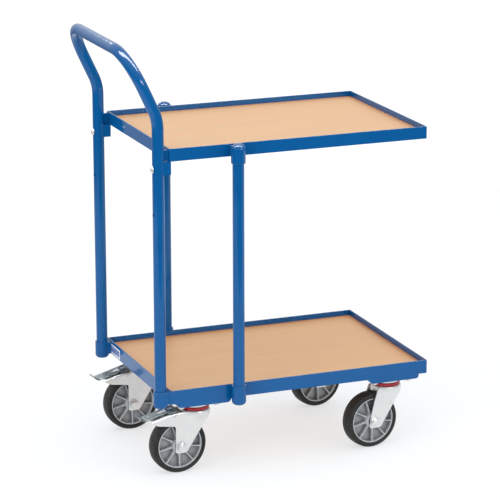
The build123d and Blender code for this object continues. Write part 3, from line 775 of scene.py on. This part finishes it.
def fork_crown():
    """The round head of the fork: a flat disc with a rolled rim and a short skirt."""
    outer, inner = CROWN_RADIUS, CROWN_RADIUS - FORK_SHEET
    under = CROWN_TOP - CROWN_SHEET
    low = CROWN_TOP - CROWN_ROUNDING - CROWN_SKIRT
    bevel = low + SKIRT_CHAMFER
    profile = [(KINGPIN_HOLE, CROWN_TOP), (outer - CROWN_ROUNDING - 2, CROWN_TOP)]
    profile += arc((outer - CROWN_ROUNDING, CROWN_TOP - CROWN_ROUNDING), CROWN_ROUNDING, 90, 0, 6)
    profile += [(outer, bevel), (outer - SKIRT_CHAMFER, low), (inner + SKIRT_CHAMFER, low), (inner, bevel),
                (inner, under - CROWN_FILLET), (inner - CROWN_FILLET, under), (KINGPIN_HOLE, under)]
    return lathe(profile, steps=96)


def rolled_lip(trail, side):
    """The turned-in top edge of a braked fork's arm, from its tip to the crown."""
    line = [(-trail - 68.5, 125.6), (-trail - 47, 131.2), (-trail - 26, 135.9), (-trail - 1, 138.2),
            (-34, 138.9)]
    inner, outer = FORK_INNER - LIP_TURN_IN, FORK_INNER + FORK_SHEET + LIP_PROUD
    section = rounded([(inner, -LIP_SHEET, 0.7), (outer, -LIP_SHEET, 0.7), (outer, 0, LIP_ROLL),
                       (inner, 0, 0.9)])
    return rows_solid([[(x, side * across, z + up + LIP_RISE) for across, up in section] for x, z in line])


def fork(name, braked):
    trail = axle_of(name)[0]
    outline = braked_leg(trail) if braked else plain_leg(trail)
    shapes = [fork_crown(), fork_leg(outline, 1), fork_leg(outline, -1)]
    if braked:
        shapes += [rolled_lip(trail, 1), rolled_lip(trail, -1)]
    shape = joined(*shapes)
    add_piece("pressed_fork_" + name, "swivel_" + name, "zinc_steel", shape, caster_place(name),
              replaces=["fork_" + name], sharp=40)


def axle_nuts(name):
    """The axle's nut on one side of the fork and its head on the other, each on a washer."""
    trail, axle_height = axle_of(name)
    outside = FORK_INNER + FORK_SHEET
    nut = nut_on_bolt(AXLE_FLATS, NUT_HEIGHT - WASHER_HEIGHT, AXLE_RADIUS, AXLE_TIP, WASHER_RADIUS)
    head = nut_on_bolt(AXLE_FLATS, NUT_HEIGHT - WASHER_HEIGHT, AXLE_RADIUS, 0, WASHER_RADIUS)
    shank = capped_lathe([(AXLE_RADIUS, -outside - 1), (AXLE_RADIUS, outside + 1)], steps=48)
    centre = shifted(-trail, 0, axle_height)
    shape = joined(
        moved(nut, centre @ shifted(0, -outside, 0) @ turned("X", 90)),
        moved(head, centre @ shifted(0, outside, 0) @ turned("X", -90)),
        moved(shank, centre @ turned("X", 90)))
    add_piece("axle_with_nuts_" + name, "swivel_" + name, "zinc_steel", shape, caster_place(name),
              replaces=["axle_bolt_" + name])


# ---- Wheels ----

def tyre_section(wheel_radius):
    """The tyre's section: flat flanks, round shoulders, a crowned tread and fine mould lines."""
    edge = TYRE_HALF_WIDTH
    shoulder = wheel_radius - TYRE_CROWN - TYRE_SHOULDER
    half = [(RIM_RADIUS - 0.2, 0), (RIM_RADIUS - 0.2, RIM_HALF_WIDTH - 0.6),
            (RIM_RADIUS + 0.6, RIM_HALF_WIDTH - 0.1),
            (shoulder - 1.6, edge - 0.05), (shoulder - 1.2, edge - MOULD_LINE), (shoulder - 0.8, edge)]
    half += arc((shoulder, edge - TYRE_SHOULDER), TYRE_SHOULDER, 90, 14, 9)
    half += [(wheel_radius - 0.42, MOULD_LINE_AT + 0.4), (wheel_radius - 0.42 - MOULD_LINE, MOULD_LINE_AT),
             (wheel_radius - 0.32, MOULD_LINE_AT - 0.4), (wheel_radius - 0.08, 3.0),
             (wheel_radius, 0.5), (wheel_radius, 0)]
    return half + [(radius, -height) for radius, height in half[-2:0:-1]]


def rim_section():
    """The rim without its ribs: a rolled outer lip, a thin dished web and a hub."""
    lip = RIM_RADIUS - RIM_LIP
    top = RIM_HALF_WIDTH
    half = [(RIM_RADIUS, 0), (RIM_RADIUS, top - 0.9), (RIM_RADIUS - 0.4, top - 0.2), (RIM_RADIUS - 1.1, top),
            (lip + 1.0, top), (lip + 0.3, top - 0.3), (lip, top - 1.0), (lip - 0.7, WEB_HALF + 3.4)]
    half += arc((lip - 3.4, WEB_HALF + 2.8), 2.7, 0, -90, 5)
    half += [(HUB_RADIUS + 3.6, WEB_HALF + 0.4)]
    half += arc((HUB_RADIUS + 3.2, WEB_HALF + 2.9), 2.5, -90, -180, 5)
    half += [(HUB_RADIUS, HUB_HALF_WIDTH - 1.2), (HUB_RADIUS - 0.5, HUB_HALF_WIDTH - 0.3),
             (HUB_RADIUS - 1.3, HUB_HALF_WIDTH), (BEARING_RADIUS + 0.8, HUB_HALF_WIDTH),
             (BEARING_RADIUS, HUB_HALF_WIDTH - 0.8), (BEARING_RADIUS, 0)]
    return half + [(radius, -height) for radius, height in half[-2:0:-1]]


def rim_rib():
    """One rib through the web along +X: thick at the web, thin and rounded at its two crests."""
    corner = [(RIB_THIN, 0.88), (RIB_THIN * 0.75, 0.965), (RIB_THIN * 0.3, 1.0)]
    upper = [(-RIB_THICK, 0)] + [(-y, share) for y, share in corner] + corner[::-1]
    ring = upper + [(-y, -share) for y, share in upper]
    lip = RIM_RADIUS - RIM_LIP
    stations = [(HUB_RADIUS - 1.0, RIB_CREST_HUB, 2.6), (HUB_RADIUS + 3, RIB_CREST_HUB, 1.7),
                (HUB_RADIUS + 9, RIB_CREST_HUB, 1.2), (HUB_RADIUS + 16, RIB_CREST_HUB + 0.3, 1.0),
                (lip - 4, RIB_CREST_RIM - 0.6, 1.0), (lip + 0.8, RIB_CREST_RIM, 1.5)]
    return rows_solid([[(x, y * width, share * crest) for y, share in ring] for x, crest, width in stations])


def wheel(name):
    trail, axle_height = axle_of(name)
    upright = shifted(-trail, 0, axle_height) @ turned("X", 90)
    place = caster_place(name) @ upright
    body = "wheel_" + name
    add_piece("moulded_tyre_" + name, body, "grey_rubber", lathe(tyre_section(axle_height), WHEEL_STEPS),
              place, replaces=["tyre_" + name], sharp=50)
    ribs = [moved(rim_rib(), turned("Z", -90 + 360 * index / RIB_COUNT)) for index in range(RIB_COUNT)]
    add_piece("ribbed_rim_" + name, body, "grey_plastic", joined(lathe(rim_section(), WHEEL_STEPS), *ribs),
              place, replaces=["rim_" + name], sharp=40)


# ---- Pedals ----

def pedal_line(distance):
    """The tread's middle line in the XZ plane from above the hinge: down the slope, then up the toe lip."""
    along = Vector((-math.cos(PEDAL_SLOPE), -math.sin(PEDAL_SLOPE)))
    if distance <= PEDAL_KNEE:
        return along * distance, along
    turn = min((distance - PEDAL_KNEE) / PEDAL_KNEE_RADIUS, PEDAL_LIP_TURN)
    centre = along * PEDAL_KNEE + Vector((along.y, -along.x)) * PEDAL_KNEE_RADIUS
    spoke = Vector((-along.y, along.x)) * PEDAL_KNEE_RADIUS
    spoke.rotate(Matrix.Rotation(-turn, 2))
    heading = along.copy()
    heading.rotate(Matrix.Rotation(-turn, 2))
    rest = max(0, distance - PEDAL_KNEE - PEDAL_LIP_TURN * PEDAL_KNEE_RADIUS)
    return centre + spoke + heading * rest, heading


def near_path(point, path):
    """Distance from a point to an open chain of straight pieces."""
    best = 1e9
    for a, b in zip(path, path[1:]):
        a, b = Vector(a), Vector(b)
        share = max(0, min(1, (point - a).dot(b - a) / (b - a).length_squared))
        best = min(best, (point - a.lerp(b, share)).length)
    return best


def bent_sheet(corners, lift, edge, thickness, gap, holes=()):
    """A sheet bent along the pedal's line, in the hinge's frame. lift(u, v) raises it there."""
    def surface(u, v, side):
        place, along = pedal_line(u)
        up = Vector((along.y, -along.x))
        raised = place + up * (side * thickness / 2 + lift(u, v))
        return raised.x, v, raised.y + PEDAL_RISE

    return pressed_sheet(rounded(corners), surface, edge, thickness, gap, holes)


def pedal_tread():
    """The stamped tread, with raised grip beads, a pointed and an oblong slot, and a rolled toe."""
    end = PEDAL_KNEE + PEDAL_KNEE_RADIUS * PEDAL_LIP_TURN + PEDAL_LIP
    corners = rectangle(PEDAL_FRONT, end, PEDAL_HALF_WIDTH, 4, 5)
    slots = [rounded(slot, 4) for slot in (POINTED_SLOT, rectangle(*OBLONG_SLOT))]

    def emboss(u, v):
        near = min(near_path(Vector((u, v)), path) for path in EMBOSS_PATHS)
        wave = math.cos(math.pi * min(1, near / (2 * EMBOSS_HALF_WIDTH)))
        return EMBOSS_HEIGHT * (0.5 + 0.5 * wave)

    return bent_sheet(corners, emboss, edge=0.8, thickness=PEDAL_SHEET, gap=1.5, holes=slots)


def pedal_spring():
    """The plated spring plate that fills the tread's two slots from below."""
    corners = rectangle(SPRING_FROM, SPRING_TO, SPRING_HALF_WIDTH, 2, 4)
    return bent_sheet(corners, lambda u, v: SPRING_LIFT, edge=0.3, thickness=SPRING_SHEET, gap=3.0)


def pedal(name):
    hinge = caster_place(name).inverted() @ (Vector(JOINTS["brake_pedal_" + name]["pos_m"]) / MM)
    round_end = EAR_REACH - 0.1
    ear_outline = rounded([(EAR_REACH, -EAR_REACH, round_end), (EAR_REACH, PEDAL_RISE - 1, 1),
                           (-EAR_LENGTH, PEDAL_RISE - EAR_DROP, 4), (-EAR_REACH, -EAR_REACH, round_end)])
    hole = rounded(rectangle(-EAR_HOLE, EAR_HOLE, EAR_HOLE, EAR_HOLE - 0.1, EAR_HOLE - 0.1))
    ear = flat_plate(ear_outline, PEDAL_SHEET, edge=0.6, gap=2.5, holes=[hole])
    ear_y = PEDAL_HALF_WIDTH - PEDAL_SHEET / 2
    ears = [moved(ear, shifted(0, side * ear_y, 0)) for side in (1, -1)]
    shoe = flat_plate(rounded(SHOE_CORNERS), SHOE_WIDTH, edge=0.8, gap=3.0)
    shape = joined(pedal_tread(), *ears, shoe)
    place = caster_place(name) @ Matrix.Translation(hinge)
    add_piece("stamped_pedal_" + name, "pedal_" + name, "pedal_steel", shape, place,
              replaces=["brake_pedal_" + name], sharp=38)
    add_piece("pedal_spring_" + name, "pedal_" + name, "zinc_steel", pedal_spring(), place)


# ---- Fasteners ----

def plate_nuts():
    """The nuts below the casters' top plates, each with its bolt's end."""
    nut_low, nut_high = (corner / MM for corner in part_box("plate_nuts"))
    height = nut_high.z - nut_low.z - PLATE_NUT_GAP
    nut = moved(nut_on_bolt(PLATE_NUT_FLATS, height, PLATE_BOLT_RADIUS, PLATE_BOLT_TIP), turned("X", 180))
    shapes = []
    for name in CASTER_NAMES:
        kingpin = Vector(JOINTS["swivel_" + name]["pos_m"]) / MM
        for side_x in (-1, 1):
            for side_y in (-1, 1):
                spin = turned("Z", random.uniform(0, 60))
                x = kingpin.x + side_x * PLATE_BOLT_SPACING[0] / 2
                y = kingpin.y + side_y * PLATE_BOLT_SPACING[1] / 2
                shapes.append(moved(nut, shifted(x, y, nut_high.z) @ spin))
    add_piece("chamfered_plate_nuts", "chassis", "zinc_steel", joined(*shapes), replaces=["plate_nuts"])


# ---- Welds ----

def upright_beads(x_places, y_places, low, high):
    return joined(*[weld_bead((x, y, low), (x, y, high)) for x, y in zip(x_places, y_places)])


def socket_welds():
    """Beads down both sides of each socket's web, where it meets a frame."""
    for side_name, sign in (("left", 1), ("right", -1)):
        low, high = (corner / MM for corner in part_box("leg_socket_" + side_name))
        rail_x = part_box("lower_rail_rear")[0].x / MM - WELD_SINK
        middle = (low.y + high.y) / 2
        ys = [middle - LEG_WEB_HALF, middle + LEG_WEB_HALF]
        beads = upright_beads([rail_x, rail_x], ys, high.z - LEG_WELD_LOW_END, high.z - LEG_WELD_HIGH_END)
        add_piece("weld_leg_socket_" + side_name, "chassis", "blue_powder_coat", beads, sharp=60)
        for level, rail in (("foot", "lower_rail_"), ("head", "upper_rail_")):
            low, high = (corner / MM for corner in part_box(f"post_{level}_{side_name}"))
            rail_low, rail_high = (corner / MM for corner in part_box(rail + side_name))
            rail_y = (rail_high.y if sign > 0 else rail_low.y) + sign * WELD_SINK
            top = min(high.z, rail_high.z) - POST_WELD_HIGH_END
            bottom = max(low.z + POST_WELD_ABOVE_SOCKET, rail_low.z + POST_WELD_ABOVE_RAIL)
            middle = (low.x + high.x) / 2
            xs = [middle - POST_WEB_HALF, middle + POST_WEB_HALF]
            beads = upright_beads(xs, [rail_y, rail_y], bottom, top)
            add_piece(f"weld_post_{level}_{side_name}", "chassis", "blue_powder_coat", beads, sharp=60)


# ---- Label ----

def label_outline(margin, corner):
    """The label's outline, drawn in by a margin and with rounded corners."""
    half_length = LABEL_LENGTH / 2 - margin
    half_height = LABEL_HEIGHT / 2 - margin
    return rounded(rectangle(-half_length, half_length, half_height, corner, corner), 4)


def blank_label():
    """A plain printed label with a thin border and no lettering, on the rear rail near the left leg."""
    rail_low, rail_high = (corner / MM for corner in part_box("lower_rail_rear"))
    middle = Vector((rail_low.x - LABEL_FILM / 2, rail_high.y - LABEL_FROM_END,
                     (rail_low.z + rail_high.z) / 2 - LABEL_DROP))
    upright = Matrix.Translation(middle) @ turned("Z", 90)
    raised = shifted(-LABEL_RAISE, 0, 0) @ upright

    def sheet(outline, thickness, holes=()):
        return flat_plate(outline, thickness, LABEL_EDGE, gap=6.0, holes=holes)

    film = sheet(label_outline(0, 2.0), LABEL_FILM)
    border = sheet(label_outline(BORDER_MARGIN, 1.6), LABEL_INK, [label_outline(WINDOW_MARGIN, 1.2)])
    panel = sheet(label_outline(PANEL_MARGIN, 1.0), LABEL_INK)
    add_piece("blank_label", "chassis", "label_film", film, upright)
    add_piece("blank_label_border", "chassis", "label_ink", border, raised)
    add_piece("blank_label_panel", "chassis", "label_panel", panel, raised)


# ---- CAD pieces that stay ----

def finish_cad_nodes():
    """Gives every CAD node the finish that its record names."""
    for entry in frame["record"]["subparts"]:
        node = frame["nodes"][entry["node"]]
        for slot in node.material_slots:
            slot.material = FINISHES[entry["material_slot"]]


# ---- Floor, light and camera ----

def floor():
    """A sheet of white paper that glows a little, so that its shadows stay soft and pale."""
    mesh = bpy.data.meshes.new("studio_floor")
    left, right, near, far = FLOOR_EDGES
    mesh.from_pydata([(left, near, 0), (right, near, 0), (right, far, 0), (left, far, 0)], [], [(0, 1, 2, 3)])
    finish = Finish("pale_floor", Roughness=0.9, Specular_IOR_Level=0.0)
    finish.set(Base_Color=finish.drift(finish.noise(0.7), (0.398, 0.403, 0.408), (0.418, 0.423, 0.428)))
    finish.set(Emission_Color=(0.965, 0.995, 1.02), Emission_Strength=FLOOR_GLOW)
    mesh.materials.append(finish.material)
    plane = bpy.data.objects.new("studio_floor", mesh)
    bpy.context.scene.collection.objects.link(plane)


def studio_world():
    """White behind the object; a bright room for its light, and a darker one for its reflections."""
    world = bpy.data.worlds.new("studio")
    bpy.context.scene.world = world
    world.use_nodes = True
    tree = world.node_tree
    background = tree.nodes["Background"]
    direction = add_node(tree, "ShaderNodeTexCoord").outputs["Generated"]
    path = add_node(tree, "ShaderNodeLightPath").outputs

    def sky(tilt, offset, darkest, brightest):
        slope = add_node(tree, "ShaderNodeVectorMath", {0: direction, 1: tilt}, operation="DOT_PRODUCT")
        level = add_node(tree, "ShaderNodeMath", {0: slope.outputs["Value"], 1: offset}, operation="ADD")
        limits = {"Value": level.outputs[0], "Min": darkest, "Max": brightest}
        return add_node(tree, "ShaderNodeClamp", limits).outputs[0]

    def switched(switch, off, on):
        return add_node(tree, "ShaderNodeMix", {0: switch, 2: off, 3: on}).outputs[0]

    seen = switched(path["Is Glossy Ray"], sky(*ROOM_LIGHT), sky(*ROOM_REFLECTION))
    plug(tree, background.inputs["Strength"], switched(path["Is Camera Ray"], seen, BACKDROP))
    plug(tree, background.inputs["Color"], (1, 1, 1))


def soft_light(name, place, target, size, power, glint):
    """A rectangular light. A glint shows only in reflections, and a softbox never does."""
    data = bpy.data.lights.new(name, "AREA")
    data.shape = "RECTANGLE"
    data.size, data.size_y = size
    data.energy = power
    light = bpy.data.objects.new(name, data)
    light.location = place
    light.rotation_euler = (Vector(target) - Vector(place)).to_track_quat("-Z", "Y").to_euler()
    light.visible_diffuse = not glint
    light.visible_glossy = glint
    bpy.context.scene.collection.objects.link(light)


def studio():
    floor()
    studio_world()
    for lights, glint in ((SOFTBOXES, False), (GLINTS, True)):
        for name, settings in lights.items():
            soft_light(name, *settings, glint)
    scene = bpy.context.scene
    scene.view_settings.view_transform = "Standard"
    scene.view_settings.look = "None"


def camera():
    """A long lens off the handle end's right corner, looking a little down on the upper deck."""
    aim = (cad_low + cad_high) / 2 + Vector(CAMERA_AIM)
    level = math.cos(CAMERA_ELEVATION)
    back = Vector((math.sin(CAMERA_AZIMUTH) * level, -math.cos(CAMERA_AZIMUTH) * level,
                   math.sin(CAMERA_ELEVATION)))
    data = bpy.data.cameras.new("photo_camera")
    data.lens, data.sensor_width = CAMERA_LENS, CAMERA_SENSOR
    data.clip_end = 200
    made = bpy.data.objects.new("photo_camera", data)
    made.location = aim + back * CAMERA_DISTANCE
    look = (-back).to_track_quat("-Z", "Y").to_matrix().to_4x4()
    made.rotation_euler = (look @ Matrix.Rotation(CAMERA_ROLL, 4, "Z")).to_euler()
    bpy.context.scene.collection.objects.link(made)
    bpy.context.scene.camera = made


# ---- Build ----

random.seed(SEED)
finish_cad_nodes()
for caster in CASTER_NAMES:
    has_brake = "brake_pedal_" + caster in JOINTS
    fork(caster, has_brake)
    axle_nuts(caster)
    wheel(caster)
    if has_brake:
        pedal(caster)
plate_nuts()
socket_welds()
blank_label()
studio()
camera()
